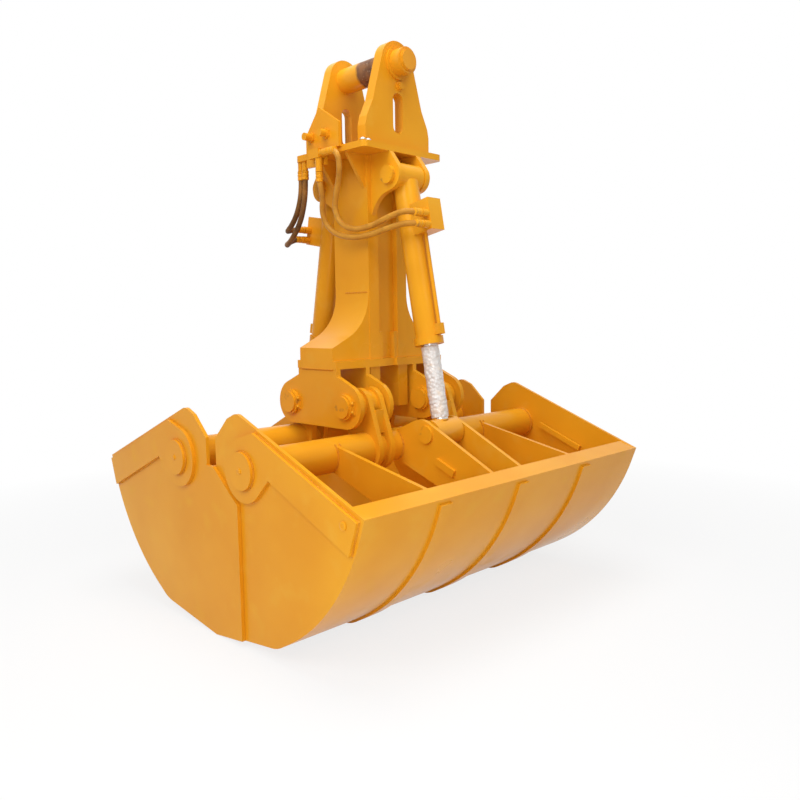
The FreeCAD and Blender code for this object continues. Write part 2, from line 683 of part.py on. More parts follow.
def rod_pin():
    face = dim("ribX") + dim("ribThickness") / 2
    steps = [(dim("rodPinHead"), -face - dim("rodPinHeadLength"), -face),
             (dim("rodPinRadius"), -face, face + 6)]
    pin = turned("front_rod_pin", stepped(*steps))
    return lay(pin, "X", y=-dim("rodEyeY"), z=dim("rodEyeZ"))


# ---- cylinders ----

RUN_Y = dim("rodEyeY") - dim("upperY")
RUN_Z = dim("upperZ") - dim("rodEyeZ")
CYLINDER_SPAN = Expression(f"sqrt({RUN_Y} * {RUN_Y} + {RUN_Z} * {RUN_Z})")
LEAN = Expression(f"atan2({RUN_Y}; {RUN_Z})")


def hang(made):
    """Hangs a piece drawn along -Z from the upper cylinder pin towards the rod eye."""
    made.Placement = FreeCAD.Placement(Vector(), FreeCAD.Rotation(Vector(1, 0, 0), -LEAN.value()))
    bind(made, "Placement.Rotation.Angle", Expression(f"(0deg - {LEAN})"))
    return place(made, y=-dim("upperY"), z=dim("upperZ"))


def add_turned(owner, profile):
    sketch = sketch_on(owner, "XZ", [profile])
    lathe = owner.newObject("PartDesign::Revolution", f"{owner.Name}Revolution")
    lathe.Profile = sketch
    lathe.ReferenceAxis = (sketch, ["V_Axis"])
    lathe.Angle = 360


def add_eye(owner, height, radius, bore, half):
    extrude(owner, "Pad", sketch_on(owner, "YZ", circles=[(0, height, radius)]), half * 2)
    extrude(owner, "Pocket", sketch_on(owner, "YZ", circles=[(0, height, bore)]), half * 2 + 4)


def barrel():
    made = body_on("front_barrel")
    hole = dim("rodRadius") + dim("slideGap")
    end = -dim("barrelLength")
    gland = end + dim("glandLength")
    outside = dim("barrelRadius")
    bore = dim("boreRadius")
    top = -20
    cap = -dim("capLength")
    profile = [(hole, end), (dim("glandRadius"), end), (dim("glandRadius"), gland), (outside, gland),
               (outside, top), (0, top), (0, cap), (bore, cap), (bore, gland), (hole, gland)]
    add_turned(made, [corner(x, z) for x, z in profile])
    bore = dim("upperPinRadius") + dim("pinFit")
    add_eye(made, 0, dim("upperEyeRadius"), bore, dim("upperEyeHalf"))
    return hang(made)


def ports():
    outside = dim("barrelRadius")
    low = -dim("portTop") - dim("portLength")
    face = -outside - dim("portDepth")
    block = box("port_box", (-dim("portHalf"), dim("portHalf")), (face, 0), (low, -dim("portTop")))
    barrel_solid = cylinder("barrel_solid", "Z", outside, dim("barrelLength"), z=-dim("barrelLength"))
    members = [boolean("Cut", "port_block", block, barrel_solid)]
    y = -outside - dim("fittingStandoff")
    for index in range(2):
        z = -dim("fittingDrop") - dim("fittingPitch") * index
        members.append(cylinder(f"fitting_{index + 1}", "X", dim("fittingRadius"), dim("fittingLength"),
                                -dim("portHalf") - dim("fittingLength"), y, z))
    foot = -dim("barrelLength") + dim("glandLength")
    pipe_y = -outside - dim("pipeGap") - dim("pipeRadius")
    top = foot + dim("pipeFoot")
    members.append(cylinder("port_pipe", "Z", dim("pipeRadius"), low - top, y=pipe_y, z=top))
    half = dim("pipeRadius") + 5
    saddle = box("pipe_box", (-half, half), (pipe_y - half, 0), (foot + 2, top))
    members.append(boolean("Cut", "pipe_saddle", saddle, barrel_solid))
    return hang(group("front_ports", *members))


def rod():
    made = body_on("front_rod")
    radius = dim("rodRadius")
    end = -CYLINDER_SPAN + dim("rodEyeBore") + 4
    piston_top = -dim("barrelLength") + dim("glandLength") + dim("pistonStop") + dim("pistonLength")
    add_turned(made, stepped((radius, end, piston_top + 5)))
    add_eye(made, -CYLINDER_SPAN, dim("rodEyeRadius"), dim("rodEyeBore"), dim("rodEyeHalf"))
    return hang(made)


def piston():
    low = -dim("barrelLength") + dim("glandLength") + dim("pistonStop")
    rings = [(0, 0, dim("boreRadius") - dim("slideGap")), (0, 0, dim("rodRadius"))]
    disc = plate("piston_disc", "XY", dim("pistonLength"), low + dim("pistonLength") / 2, circles=rings)
    return hang(group("front_piston", disc))


def film():
    inner = dim("rodRadius") + dim("slideGap")
    low = -CYLINDER_SPAN + dim("rodEyeRadius") + dim("filmGap")
    high = -dim("barrelLength") - dim("filmGap")
    rings = [(0, 0, inner + dim("filmThickness")), (0, 0, inner)]
    tube = plate("film_tube", "XY", high - low, (high + low) / 2, circles=rings)
    return hang(group("front_rod_film", tube))


# ---- hoses ----

def port_point(index):
    """The centre of a front cylinder fitting's face, in the bucket's frame."""
    lean = math.radians(LEAN.value())
    y = -number(dim("barrelRadius")) - number(dim("fittingStandoff"))
    z = -number(dim("fittingDrop")) - number(dim("fittingPitch")) * index
    face = -number(dim("portHalf")) - number(dim("fittingLength")) - number(dim("hoseGap"))
    turned_y = y * math.cos(lean) + z * math.sin(lean)
    turned_z = -y * math.sin(lean) + z * math.cos(lean)
    return Vector(face, turned_y - number(dim("upperY")), turned_z + number(dim("upperZ")))


def hose(label, route):
    """A round hose along straight runs joined by tangent arcs."""
    points = [Vector(*p) for p in route]
    edges = []
    start = points[0]
    for before, here, after in zip(points, points[1:], points[2:]):
        arriving = (here - before).normalize()
        leaving = (after - here).normalize()
        turn = arriving.getAngle(leaving)
        trim = 0.45 * min((here - before).Length, (after - here).Length)
        radius = trim / math.tan(turn / 2)
        print(f"{label} bend radius {radius:.0f}")
        first = here - arriving * trim
        last = here + leaving * trim
        towards = (leaving - arriving).normalize()
        middle = here + towards * (radius / math.cos(turn / 2) - radius)
        edges.append(Part.LineSegment(start, first).toShape())
        edges.append(Part.Arc(first, middle, last).toShape())
        start = last
    edges.append(Part.LineSegment(start, points[-1]).toShape())
    path = Part.Wire(edges)
    section = Part.Circle(points[0], points[1] - points[0], number(dim("hoseRadius"))).toShape()
    made = doc.addObject("Part::Feature", label)
    made.Shape = path.makePipeShell([Part.Wire(section)], True, True)
    area = math.pi * number(dim("hoseRadius")) ** 2
    print(f"{label} volume ratio {made.Shape.Volume / (area * path.Length):.4f}")
    return node(made)


def hoses():
    gap = number(dim("hoseGap"))
    plate_face = -number(dim("platformHalfX")) - number(dim("hosePlate"))
    x = plate_face - number(dim("manifoldDepth")) / 2
    low = number(dim("manifoldTop")) - number(dim("manifoldHeight"))
    front = Vector(x, number(dim("manifoldFront") - dim("outletLength")) - gap, low + 16)
    down = Vector(x, number(dim("dropY")), low - number(dim("dropLength")) - gap)
    upper = port_point(0)
    lower = port_point(1)
    step = Vector(23, 0, 0)
    hose("hose_front_upper", [
        front, front - Vector(0, 30, 0), (-220, -88, -338), (-208, -76, -392), (-186, -30, -447),
        (-168, 2, -500), (-155, -14, -550), (-146, -76, -575), (-136, -150, -570),
        (-128, -230, -545), (-118, -287, -531), (-102, -312, -532), upper - step, upper])
    hose("hose_front_lower", [
        down, down - Vector(0, 0, 32), (-202, 24, -455), (-182, 56, -498), (-168, 54, -546),
        (-156, 6, -587), (-143, -76, -603), (-132, -155, -596), (-121, -231, -578),
        (-112, -288, -571), (-101, -315, -571), lower - step, lower])
    x = number(dim("rearDropX"))
    top = number(PLATFORM_FOOT - dim("rearDropLength")) - gap
    drops = [Vector(x, number(dim("rearDropY") + dim("rearDropPitch") * index), top) for index in (0, 1)]
    upper.y = -upper.y
    lower.y = -lower.y
    hose("hose_rear_upper", [
        drops[1], drops[1] - Vector(0, 0, 55), (-180, 184, -450), (-177, 212, -498),
        (-167, 256, -530), (-150, 308, -546), (-126, 334, -542), (-103, 328, -536),
        upper - step, upper])
    hose("hose_rear_lower", [
        drops[0], drops[0] - Vector(0, 0, 60), (-182, 158, -465), (-184, 182, -530),
        (-178, 240, -582), (-156, 306, -602), (-128, 340, -590), (-104, 334, -577),
        lower - step, lower])


# ---- assembly ----

ear("ear_front", -1)
ear("ear_rear", 1)
hitch_pin()
pin_keeper()
head_platform()
column()
foot_flange()
brackets()
hinge_pins()
cylinder_lugs()
cylinder_pins()
hose_bracket()

arm_right, arm_left = hinge_arm()
outer_ribs, rod_ribs = shell_ribs()
plate_under, plate_over = end_plates()
shell = {
    "skin": bucket_skin(), "end_plate_under": plate_under, "end_plate_over": plate_over,
    "doublers": end_doublers(), "torque_tube": torque_tube(), "cutting_edge": cutting_edge(),
    "lip": lip_bar(), "outer_ribs": outer_ribs, "rod_ribs": rod_ribs, "arm_left": arm_right,
    "arm_right": arm_left, "rod_pin": rod_pin(),
}
for name, piece in shell.items():
    node(piece)
    node(half_turn(f"rear_{name}", piece))

for piece in (barrel(), ports(), rod(), piston(), film()):
    node(piece)
    node(mirror(piece.Label.replace("front", "rear"), piece, FRONT_REAR))

doc.recompute()
hoses()
doc.recompute()

failed = [item.Label for item in doc.Objects if {"Invalid", "Error"} & set(item.State)]
for piece in NODES:
    if piece.Shape.isNull() or not piece.Shape.isValid() or not piece.Shape.Solids:
        failed.append(piece.Label)
if failed:
    raise RuntimeError(f"these did not build: {failed}")

os.makedirs("parts", exist_ok=True)
for piece in NODES:
    piece.Shape.exportStep(os.path.join("parts", f"{piece.Label}.step"))
print(f"{len(NODES)} pieces written")
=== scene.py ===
import json
import math

import bmesh
import bpy
from mathutils import Matrix, Vector, noise

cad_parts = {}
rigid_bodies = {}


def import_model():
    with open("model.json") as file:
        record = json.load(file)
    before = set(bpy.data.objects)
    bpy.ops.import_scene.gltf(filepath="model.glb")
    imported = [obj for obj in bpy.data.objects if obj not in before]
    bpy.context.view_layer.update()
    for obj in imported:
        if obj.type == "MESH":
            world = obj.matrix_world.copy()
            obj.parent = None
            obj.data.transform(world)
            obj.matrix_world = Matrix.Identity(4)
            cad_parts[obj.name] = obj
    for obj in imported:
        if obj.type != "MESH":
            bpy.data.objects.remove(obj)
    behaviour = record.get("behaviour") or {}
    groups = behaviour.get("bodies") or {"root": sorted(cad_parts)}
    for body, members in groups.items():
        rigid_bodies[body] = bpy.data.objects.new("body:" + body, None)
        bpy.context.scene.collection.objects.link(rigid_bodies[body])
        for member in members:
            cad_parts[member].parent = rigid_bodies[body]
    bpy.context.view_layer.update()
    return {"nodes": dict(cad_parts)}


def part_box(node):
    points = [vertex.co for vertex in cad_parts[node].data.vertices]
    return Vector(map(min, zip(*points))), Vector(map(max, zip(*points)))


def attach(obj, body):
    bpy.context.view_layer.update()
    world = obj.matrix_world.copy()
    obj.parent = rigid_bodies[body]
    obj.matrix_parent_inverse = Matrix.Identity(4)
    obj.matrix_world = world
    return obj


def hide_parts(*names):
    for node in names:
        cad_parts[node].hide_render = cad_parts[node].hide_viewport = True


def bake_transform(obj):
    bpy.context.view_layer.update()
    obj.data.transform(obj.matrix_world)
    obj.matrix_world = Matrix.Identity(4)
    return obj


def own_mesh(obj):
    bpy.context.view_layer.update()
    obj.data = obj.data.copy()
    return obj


for leftover in list(bpy.data.objects):
    bpy.data.objects.remove(leftover)
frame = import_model()
scene = bpy.context.scene
print("frame loaded:", len(frame["nodes"]), "nodes")

sides = {"front": -1, "rear": 1}  # the sign of Y on each side


# Node trees written as expressions
class Signal:
    def __init__(self, tree, socket):
        self.tree = tree
        self.socket = socket

    def combine(self, operation, other, swapped=False):
        pair = (other, self) if swapped else (self, other)
        return self.tree.add("ShaderNodeMath", {"operation": operation}, {0: pair[0], 1: pair[1]})

    def __add__(self, other):
        return self.combine("ADD", other)

    def __radd__(self, other):
        return self.combine("ADD", other, True)

    def __sub__(self, other):
        return self.combine("SUBTRACT", other)

    def __rsub__(self, other):
        return self.combine("SUBTRACT", other, True)

    def __mul__(self, other):
        return self.combine("MULTIPLY", other)

    def __rmul__(self, other):
        return self.combine("MULTIPLY", other, True)


class Tree:
    def __init__(self, nodeTree):
        self.nodes = nodeTree.nodes
        self.links = nodeTree.links

    def add(self, kind, settings=(), inputs=(), output=0):
        node = self.nodes.new(kind)
        for name, value in dict(settings).items():
            setattr(node, name, value)
        for name, value in dict(inputs).items():
            if isinstance(value, Signal):
                self.links.new(value.socket, node.inputs[name])
            else:
                node.inputs[name].default_value = value
        return Signal(self, node.outputs[output]) if node.outputs else None

    def grain(self, place, scale, detail=2.0):
        return self.add("ShaderNodeTexNoise", {}, {"Vector": place, "Scale": scale, "Detail": detail})

    def between(self, value, low, high):
        return self.add("ShaderNodeMapRange", {}, {"Value": value, "From Min": low, "From Max": high})

    def mix(self, factor, first, second):
        colours = [c if isinstance(c, Signal) else (*c, 1) for c in (first, second)]
        return self.add("ShaderNodeMix", {"data_type": "RGBA"},
                        {0: factor, 6: colours[0], 7: colours[1]}, 2)

    def bump(self, height, strength, distance):
        return self.add("ShaderNodeBump", {}, {"Strength": strength, "Distance": distance, "Height": height})


def newMaterial(name):
    made = bpy.data.materials.new(name)
    made.use_nodes = True
    made.node_tree.nodes.clear()
    return made, Tree(made.node_tree)


def finishWith(tree, values):
    shader = tree.add("ShaderNodeBsdfPrincipled", {}, values)
    tree.add("ShaderNodeOutputMaterial", {}, {"Surface": shader})


# Two colours that drift into each other, a third in patches, and a fine skin
def coatedSurface(name, look):
    made, tree = newMaterial(name)
    place = tree.add("ShaderNodeTexCoord", output="Object")
    broad = tree.grain(place, look["driftScale"], 3.0)
    patch = tree.grain(place, look["patchScale"], 5.0)
    skin = tree.grain(place, look["skinScale"], 2.0)
    drift = tree.between(broad, 0.35, 0.68)
    spots = tree.between(patch, *look["patchEdge"])
    colour = tree.mix(drift, look["main"], look["second"])
    colour = tree.mix(spots * look["patchShare"], colour, look["patch"])
    rough = drift * look["roughSpread"] + spots * look["patchRough"] + look["rough"]
    height = skin * 0.5 + patch * look["dents"]
    finishWith(tree, {"Base Color": colour, "Roughness": rough, "Metallic": look["metal"],
                      "Coat Weight": look["coat"], "Coat Roughness": 0.12,
                      "Specular IOR Level": look["specular"],
                      # The specular tint is a painted reflection of orange surroundings, carried by every look
                      # made here
                      "Specular Tint": (*look["paintedReflectionTint"], 1),
                      "Normal": tree.bump(height, look["bump"], look["depth"])})
    return made


# The enamel's specular tint colour is a painted reflection: it turns the gloss orange
enamelLook = {"main": (0.80, 0.362, 0.015), "second": (0.725, 0.292, 0.010),
              "patch": (0.76, 0.40, 0.045), "driftScale": 2.3, "patchScale": 11.0,
              "patchEdge": (0.56, 0.78), "patchShare": 0.45, "skinScale": 260.0, "rough": 0.27,
              "roughSpread": 0.09, "patchRough": 0.16, "metal": 0.0, "coat": 0.08, "specular": 0.22, "paintedReflectionTint": (1.0, 0.70, 0.24), "dents": 0.9,
              "bump": 0.22, "depth": 0.0012}
looks = {
    "orangeEnamel": enamelLook,
    "weldedEnamel": {**enamelLook, "main": (0.70, 0.28, 0.016), "second": (0.60, 0.21, 0.011),
                     "skinScale": 420.0, "rough": 0.38, "bump": 0.5},
    "paintedPin": {**enamelLook, "patch": (0.30, 0.13, 0.035), "patchEdge": (0.60, 0.74),
                   "patchShare": 0.7, "patchScale": 34.0, "patchRough": 0.3},
    "rustySteel": {**enamelLook, "main": (0.17, 0.075, 0.035), "second": (0.10, 0.05, 0.03),
                   "patch": (0.33, 0.14, 0.05), "driftScale": 40.0, "patchScale": 90.0,
                   "coat": 0.0, "metal": 0.25, "rough": 0.55},
    "chromeRod": {**enamelLook, "main": (0.62, 0.62, 0.61), "second": (0.52, 0.52, 0.52),
                  "patch": (0.45, 0.38, 0.30), "driftScale": 9.0, "patchScale": 50.0, "coat": 0.0,
                  "metal": 1.0, "rough": 0.13, "patchShare": 0.2, "bump": 0.04},
    "machinedSteel": {**enamelLook, "main": (0.50, 0.50, 0.49), "second": (0.40, 0.40, 0.40),
                      "patch": (0.33, 0.30, 0.27), "driftScale": 30.0, "patchScale": 120.0,
                      "coat": 0.0, "metal": 0.9, "rough": 0.3},
    "zincBolt": {**enamelLook, "main": (0.66, 0.66, 0.63), "second": (0.50, 0.49, 0.46),
                 "patch": (0.42, 0.36, 0.26), "driftScale": 60.0, "patchScale": 150.0, "coat": 0.0,
                 "metal": 0.85, "rough": 0.33},
    "paintedHose": {**enamelLook, "main": (0.60, 0.28, 0.035), "second": (0.45, 0.185, 0.022),
                    "patch": (0.16, 0.075, 0.022), "driftScale": 14.0, "patchScale": 46.0,
                    "rough": 0.42, "coat": 0.1, "skinScale": 700.0, "bump": 0.35},
    "rubberHose": {**enamelLook, "main": (0.30, 0.125, 0.030), "second": (0.075, 0.036, 0.020),
                   "patch": (0.44, 0.20, 0.035), "driftScale": 9.0, "patchScale": 22.0,
                   "rough": 0.5, "coat": 0.0, "skinScale": 700.0, "bump": 0.35},
}
materials = {name: coatedSurface(name, look) for name, look in looks.items()}
rodLook = {"eyeTop": -1.2365, "chrome": (0.60, 0.60, 0.59), "haze": (0.42, 0.39, 0.35)}


# The rod is chrome down to its eye, and the eye is painted
def rodSurface():
    made, tree = newMaterial("rodAndEye")
    place = tree.add("ShaderNodeTexCoord", output="Object")
    height = tree.add("ShaderNodeSeparateXYZ", {}, {0: place}, "Z")
    plated = tree.between(height, rodLook["eyeTop"] - 0.001, rodLook["eyeTop"] + 0.001)
    haze = tree.between(tree.grain(place, 26.0, 4.0), 0.45, 0.75)
    drift = tree.between(tree.grain(place, enamelLook["driftScale"], 3.0), 0.35, 0.68)
    chrome = tree.mix(haze * 0.5, rodLook["chrome"], rodLook["haze"])
    paint = tree.mix(drift, enamelLook["main"], enamelLook["second"])
    skin = tree.grain(place, enamelLook["skinScale"], 2.0)
    finishWith(tree, {"Base Color": tree.mix(plated, paint, chrome), "Metallic": plated,
                      "Roughness": haze * 0.12 + 0.32 - plated * 0.18,
                      "Normal": tree.bump(skin, 0.12, 0.001)})
    return made


materials["chromeRod"] = rodSurface()
pinLook = {"bare": (0.26, 0.115, 0.045), "rust": (0.13, 0.055, 0.026), "scrape": (0.42, 0.30, 0.20),
           "wornTo": 0.012, "ragged": 0.035}


# The hitch pin is painted at its ends and rubbed bare where it was slung
def pinSurface():
    made, tree = newMaterial("wornPin")
    place = tree.add("ShaderNodeTexCoord", output="Object")
    along = tree.add("ShaderNodeSeparateXYZ", {}, {0: place}, "Y")
    ragged = tree.grain(place, 24.0, 4.0) * pinLook["ragged"]
    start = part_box("ear_front")[1].y
    left = tree.between(along + ragged, start + 0.010, start + 0.022)
    right = tree.between(along + ragged, pinLook["wornTo"] + 0.026, pinLook["wornTo"] + 0.010)
    worn = left * right
    blotch = tree.between(tree.grain(place, 30.0, 5.0), 0.38, 0.62)
    rubbed = tree.between(tree.grain(place, 75.0, 3.0), 0.60, 0.72)
    bare = tree.mix(rubbed * 0.6, tree.mix(blotch, pinLook["bare"], pinLook["rust"]), pinLook["scrape"])
    drift = tree.between(tree.grain(place, enamelLook["driftScale"], 3.0), 0.35, 0.68)
    paint = tree.mix(drift, enamelLook["main"], enamelLook["second"])
    finishWith(tree, {"Base Color": tree.mix(worn, paint, bare), "Metallic": worn * 0.35,
                      "Roughness": worn * 0.15 + 0.32, "Specular IOR Level": 0.3,
                      "Normal": tree.bump(blotch, 0.25, 0.001)})
    return made


materials["wornPin"] = pinSurface()

# The film's glow colour is painted light: orange glints laid on in patches
# The film's shade colour is painted shade, laid along the cell rims of the crinkles
filmLook = {"milk": (0.76, 0.74, 0.72), "paintedCreaseShade": (0.58, 0.53, 0.49), "glow": (0.80, 0.56, 0.30),
            "cells": 85.0, "creases": 26.0}


def packingFilm():
    made, tree = newMaterial("packingFilm")
    place = tree.add("ShaderNodeTexCoord", output="Object")
    cells = tree.add("ShaderNodeTexVoronoi", {}, {"Vector": place, "Scale": filmLook["cells"]})
    creases = tree.grain(place, filmLook["creases"], 4.0)
    # Painted glints: patches tinted orange with the glow colour
    glow = tree.between(tree.grain(place, 33.0, 3.0), 0.52, 0.66)
    # Painted shade: the film goes towards the shade colour along the cell rims
    paintedShadeRims = tree.between(cells, 0.30, 0.62)
    colour = tree.mix(paintedShadeRims * 0.55, filmLook["milk"], filmLook["paintedCreaseShade"])
    colour = tree.mix(glow * 0.3, colour, filmLook["glow"])
    finishWith(tree, {"Base Color": colour, "Roughness": paintedShadeRims * 0.2 + 0.12, "Coat Weight": 0.6,
                      "Coat Roughness": 0.08,
                      "Normal": tree.bump(creases * 1.6 - cells, 0.75, 0.004)})
    return made


materials["packingFilm"] = packingFilm()
print("materials made:", len(materials))

# Every CAD node takes its finish by name; the rest is enamel
nodeFinish = {"hitch_pin": "wornPin", "pin_keeper": "paintedPin", "hinge_pin": "paintedPin",
              "cylinder_pin": "paintedPin", "rod_pin": "paintedPin", "piston": "machinedSteel",
              "rod_ribs": "orangeEnamel"}
for name, node in frame["nodes"].items():
    finish = "orangeEnamel"
    if name in ("front_rod", "rear_rod"):
        finish = "chromeRod"
    for word, choice in nodeFinish.items():
        if word in name:
            finish = choice
    if not node.material_slots:
        node.data.materials.append(None)
    for slot in node.material_slots:
        slot.material = materials[finish]


def newPiece(name, mesh, finish, body=None):
    piece = bpy.data.objects.new(name, mesh)
    scene.collection.objects.link(piece)
    mesh.materials.clear()
    mesh.materials.append(materials[finish])
    if body:
        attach(piece, body)
    return piece


def meshFrom(name, bm, smooth=True):
    bmesh.ops.remove_doubles(bm, verts=bm.verts, dist=0.00001)
    bmesh.ops.recalc_face_normals(bm, faces=bm.faces)
    mesh = bpy.data.meshes.new(name)
    bm.to_mesh(mesh)
    bm.free()
    for face in mesh.polygons:
        face.use_smooth = smooth
    if smooth:
        mesh.set_sharp_from_angle(angle=math.radians(35))
    return mesh


# A turned shape: (along, radius) pairs about an axis
def turned(bm, profile, start, axis, segments=32):
    axis = Vector(axis).normalized()
    across = axis.orthogonal().normalized()
    beside = axis.cross(across)
    rings = []
    for along, radius in profile:
        centre = Vector(start) + axis * along
        rings.append([bm.verts.new(centre + across * (radius * math.cos(turn))
                                   + beside * (radius * math.sin(turn)))
                      for turn in (2 * math.pi * index / segments for index in range(segments))])
    for first, second in zip(rings, rings[1:]):
        for index in range(segments):
            after = (index + 1) % segments
            bm.faces.new((first[index], first[after], second[after], second[index]))
    bm.faces.new(rings[0][::-1])
    bm.faces.new(rings[-1])


def slab(bm, corners, offset):
    near = [bm.verts.new(Vector(c)) for c in corners]
    far = [bm.verts.new(Vector(c) + Vector(offset)) for c in corners]
    bm.faces.new(near)
    bm.faces.new(far[::-1])
    for index in range(len(near)):
        after = (index + 1) % len(near)
        bm.faces.new((near[index], far[index], far[after], near[after]))


# Geometry Nodes: a tree with named inputs, then its result as a plain mesh
def geometryTree(name, inputs):
    made = bpy.data.node_groups.new(name, "GeometryNodeTree")
    made.interface.new_socket("Geometry", in_out="INPUT", socket_type="NodeSocketGeometry")
    for label, kind in inputs.items():
        made.interface.new_socket(label, in_out="INPUT", socket_type=kind)
    made.interface.new_socket("Geometry", in_out="OUTPUT", socket_type="NodeSocketGeometry")
    tree = Tree(made)
    entry = made.nodes.new("NodeGroupInput")
    taken = {socket.name: Signal(tree, socket) for socket in entry.outputs if socket.name}
    return made, tree, taken


def endTree(tree, shape, material):
    whole = tree.add("GeometryNodeRealizeInstances", {}, {"Geometry": shape})
    smooth = tree.add("GeometryNodeSetShadeSmooth", {}, {"Geometry": whole})
    coated = tree.add("GeometryNodeSetMaterial", {}, {"Geometry": smooth, "Material": material})
    tree.add("NodeGroupOutput", {}, {0: coated})


def grown(name, host, nodeTree, values, finish, body):
    source = bpy.data.objects.new(name + "Host", host)
    scene.collection.objects.link(source)
    modifier = source.modifiers.new("grow", "NODES")
    modifier.node_group = nodeTree
    for item in nodeTree.interface.items_tree:
        if item.in_out == "INPUT" and item.name in values:
            modifier[item.identifier] = values[item.name]
    bpy.context.view_layer.update()
    evaluated = source.evaluated_get(bpy.context.evaluated_depsgraph_get())
    mesh = bpy.data.meshes.new_from_object(evaluated)
    mesh.name = name
    source.modifiers.clear()
    bpy.data.objects.remove(source)
    return newPiece(name, mesh, finish, body)


beadTree, beads, given = geometryTree("weldBeads", {
    "Spacing": "NodeSocketFloat", "Radius": "NodeSocketFloat", "Seed": "NodeSocketInt",
    "Material": "NodeSocketMaterial"})
path = beads.add("GeometryNodeMeshToCurve", {}, {"Mesh": given["Geometry"]})
even = beads.add("GeometryNodeResampleCurve", {"mode": "LENGTH"},
                 {"Curve": path, "Length": given["Spacing"]})
drop = beads.add("GeometryNodeMeshIcoSphere", {}, {"Radius": given["Radius"], "Subdivisions": 1})
size = beads.add("FunctionNodeRandomValue", {"data_type": "FLOAT"},
                 {2: 0.82, 3: 1.15, "Seed": given["Seed"]}, 1)
row = beads.add("GeometryNodeInstanceOnPoints", {}, {"Points": even, "Instance": drop, "Scale": size})
endTree(beads, row, given["Material"])

boltTree, bolts, given = geometryTree("boltHeads", {
    "Radius": "NodeSocketFloat", "Height": "NodeSocketFloat", "Turn": "NodeSocketVector",
    "Material": "NodeSocketMaterial"})
head = bolts.add("GeometryNodeMeshCylinder", {}, {"Vertices": 6, "Radius": given["Radius"],
                                                  "Depth": given["Height"]})
washer = bolts.add("GeometryNodeMeshCylinder", {}, {
    "Vertices": 20, "Radius": given["Radius"] * 1.35, "Depth": given["Height"] * 0.45})
both = bolts.add("GeometryNodeJoinGeometry")
for part in (head, washer):
    bolts.links.new(part.socket, both.socket.node.inputs[0])
turn = bolts.add("FunctionNodeEulerToRotation", {}, {0: given["Turn"]})
spread = bolts.add("GeometryNodeInstanceOnPoints", {}, {
    "Points": given["Geometry"], "Instance": both, "Rotation": turn})
endTree(bolts, spread, given["Material"])


def lineMesh(name, lines):
    points, edges = [], []
    for line in lines:
        first = len(points)
        points += [tuple(point) for point in line]
        edges += [(index, index + 1) for index in range(first, len(points) - 1)]
    mesh = bpy.data.meshes.new(name)
    mesh.from_pydata(points, edges, [])
    return mesh


weld = {"spacing": 0.0032, "radius": 0.0036, "seed": 7}


def weldOn(name, lines, body):
    values = {"Spacing": weld["spacing"], "Radius": weld["radius"], "Seed": weld["seed"],
              "Material": materials["weldedEnamel"]}
    return grown(name, lineMesh(name, lines), beadTree, values, "weldedEnamel", body)


def arc(x, y, z, radius, start, end, steps=40):
    return [(x, y + radius * math.cos(math.radians(start + (end - start) * index / steps)),
             z + radius * math.sin(math.radians(start + (end - start) * index / steps)))
            for index in range(steps + 1)]


# The camera comes before the hoses
eye = {"place": (-1.94466, -2.09848, -0.88866), "right": (0.70726, -0.70682, -0.01395),
       "up": (0.08581, 0.06624, 0.99410), "forward": (0.70173, 0.70428, -0.10750), "lens": 33.85}
camera = bpy.data.objects.new("camera", bpy.data.cameras.new("camera"))
scene.collection.objects.link(camera)
camera.data.lens = eye["lens"]
camera.data.sensor_width = 36
columns = [Vector(eye["right"]), Vector(eye["up"]), -Vector(eye["forward"])]
camera.matrix_world = Matrix.Translation(eye["place"]) @ Matrix(columns).transposed().to_4x4()
scene.camera = camera

# Four hoses, each from its bracket to a port on the cylinder, with crimped ferrules
hoses = {
    "hose_front_upper": {"side": "front", "finish": "paintedHose", "route": [
        (-0.221, -0.0365, -0.309), (-0.221, -0.0665, -0.309), (-0.220, -0.088, -0.338),
        (-0.208, -0.076, -0.392), (-0.186, -0.030, -0.447), (-0.168, 0.002, -0.500),
        (-0.155, -0.014, -0.550), (-0.146, -0.076, -0.575), (-0.136, -0.150, -0.570),
        (-0.128, -0.230, -0.545), (-0.118, -0.287, -0.531), (-0.102, -0.312, -0.532),
        (-0.0835, -0.3197, -0.5336), (-0.0605, -0.3197, -0.5336)]},
    "hose_front_lower": {"side": "front", "finish": "paintedHose", "route": [
        (-0.221, 0.018, -0.3725), (-0.221, 0.018, -0.4045), (-0.202, 0.024, -0.455),
        (-0.182, 0.056, -0.498), (-0.168, 0.054, -0.546), (-0.156, 0.006, -0.587),
        (-0.143, -0.076, -0.603), (-0.132, -0.155, -0.596), (-0.121, -0.231, -0.578),
        (-0.112, -0.288, -0.571), (-0.101, -0.315, -0.571), (-0.0835, -0.3267, -0.571),
        (-0.0605, -0.3267, -0.571)]},
    "hose_rear_upper": {"side": "rear", "finish": "rubberHose", "route": [
        (-0.178, 0.176, -0.3425), (-0.178, 0.176, -0.3975), (-0.180, 0.184, -0.450),
        (-0.177, 0.212, -0.498), (-0.167, 0.256, -0.530), (-0.150, 0.308, -0.546),
        (-0.126, 0.334, -0.542), (-0.103, 0.328, -0.536), (-0.0835, 0.3197, -0.5336),
        (-0.0605, 0.3197, -0.5336)]},
    "hose_rear_lower": {"side": "rear", "finish": "rubberHose", "route": [
        (-0.178, 0.152, -0.3425), (-0.178, 0.152, -0.4025), (-0.182, 0.158, -0.465),
        (-0.184, 0.182, -0.530), (-0.178, 0.240, -0.582), (-0.156, 0.306, -0.602),
        (-0.128, 0.340, -0.590), (-0.104, 0.334, -0.577), (-0.0835, 0.3267, -0.571),
        (-0.0605, 0.3267, -0.571)]},
}
hoseSize = {"diameter": 0.020, "ferrule": 0.034, "ferruleRadius": 0.0132}
crimped = [(0, 0.0105), (0.0015, 0.0132), (0.008, 0.0132), (0.010, 0.0118), (0.012, 0.0132),
           (0.020, 0.0132), (0.022, 0.0118), (0.024, 0.0132), (0.0325, 0.0132), (0.034, 0.0108)]
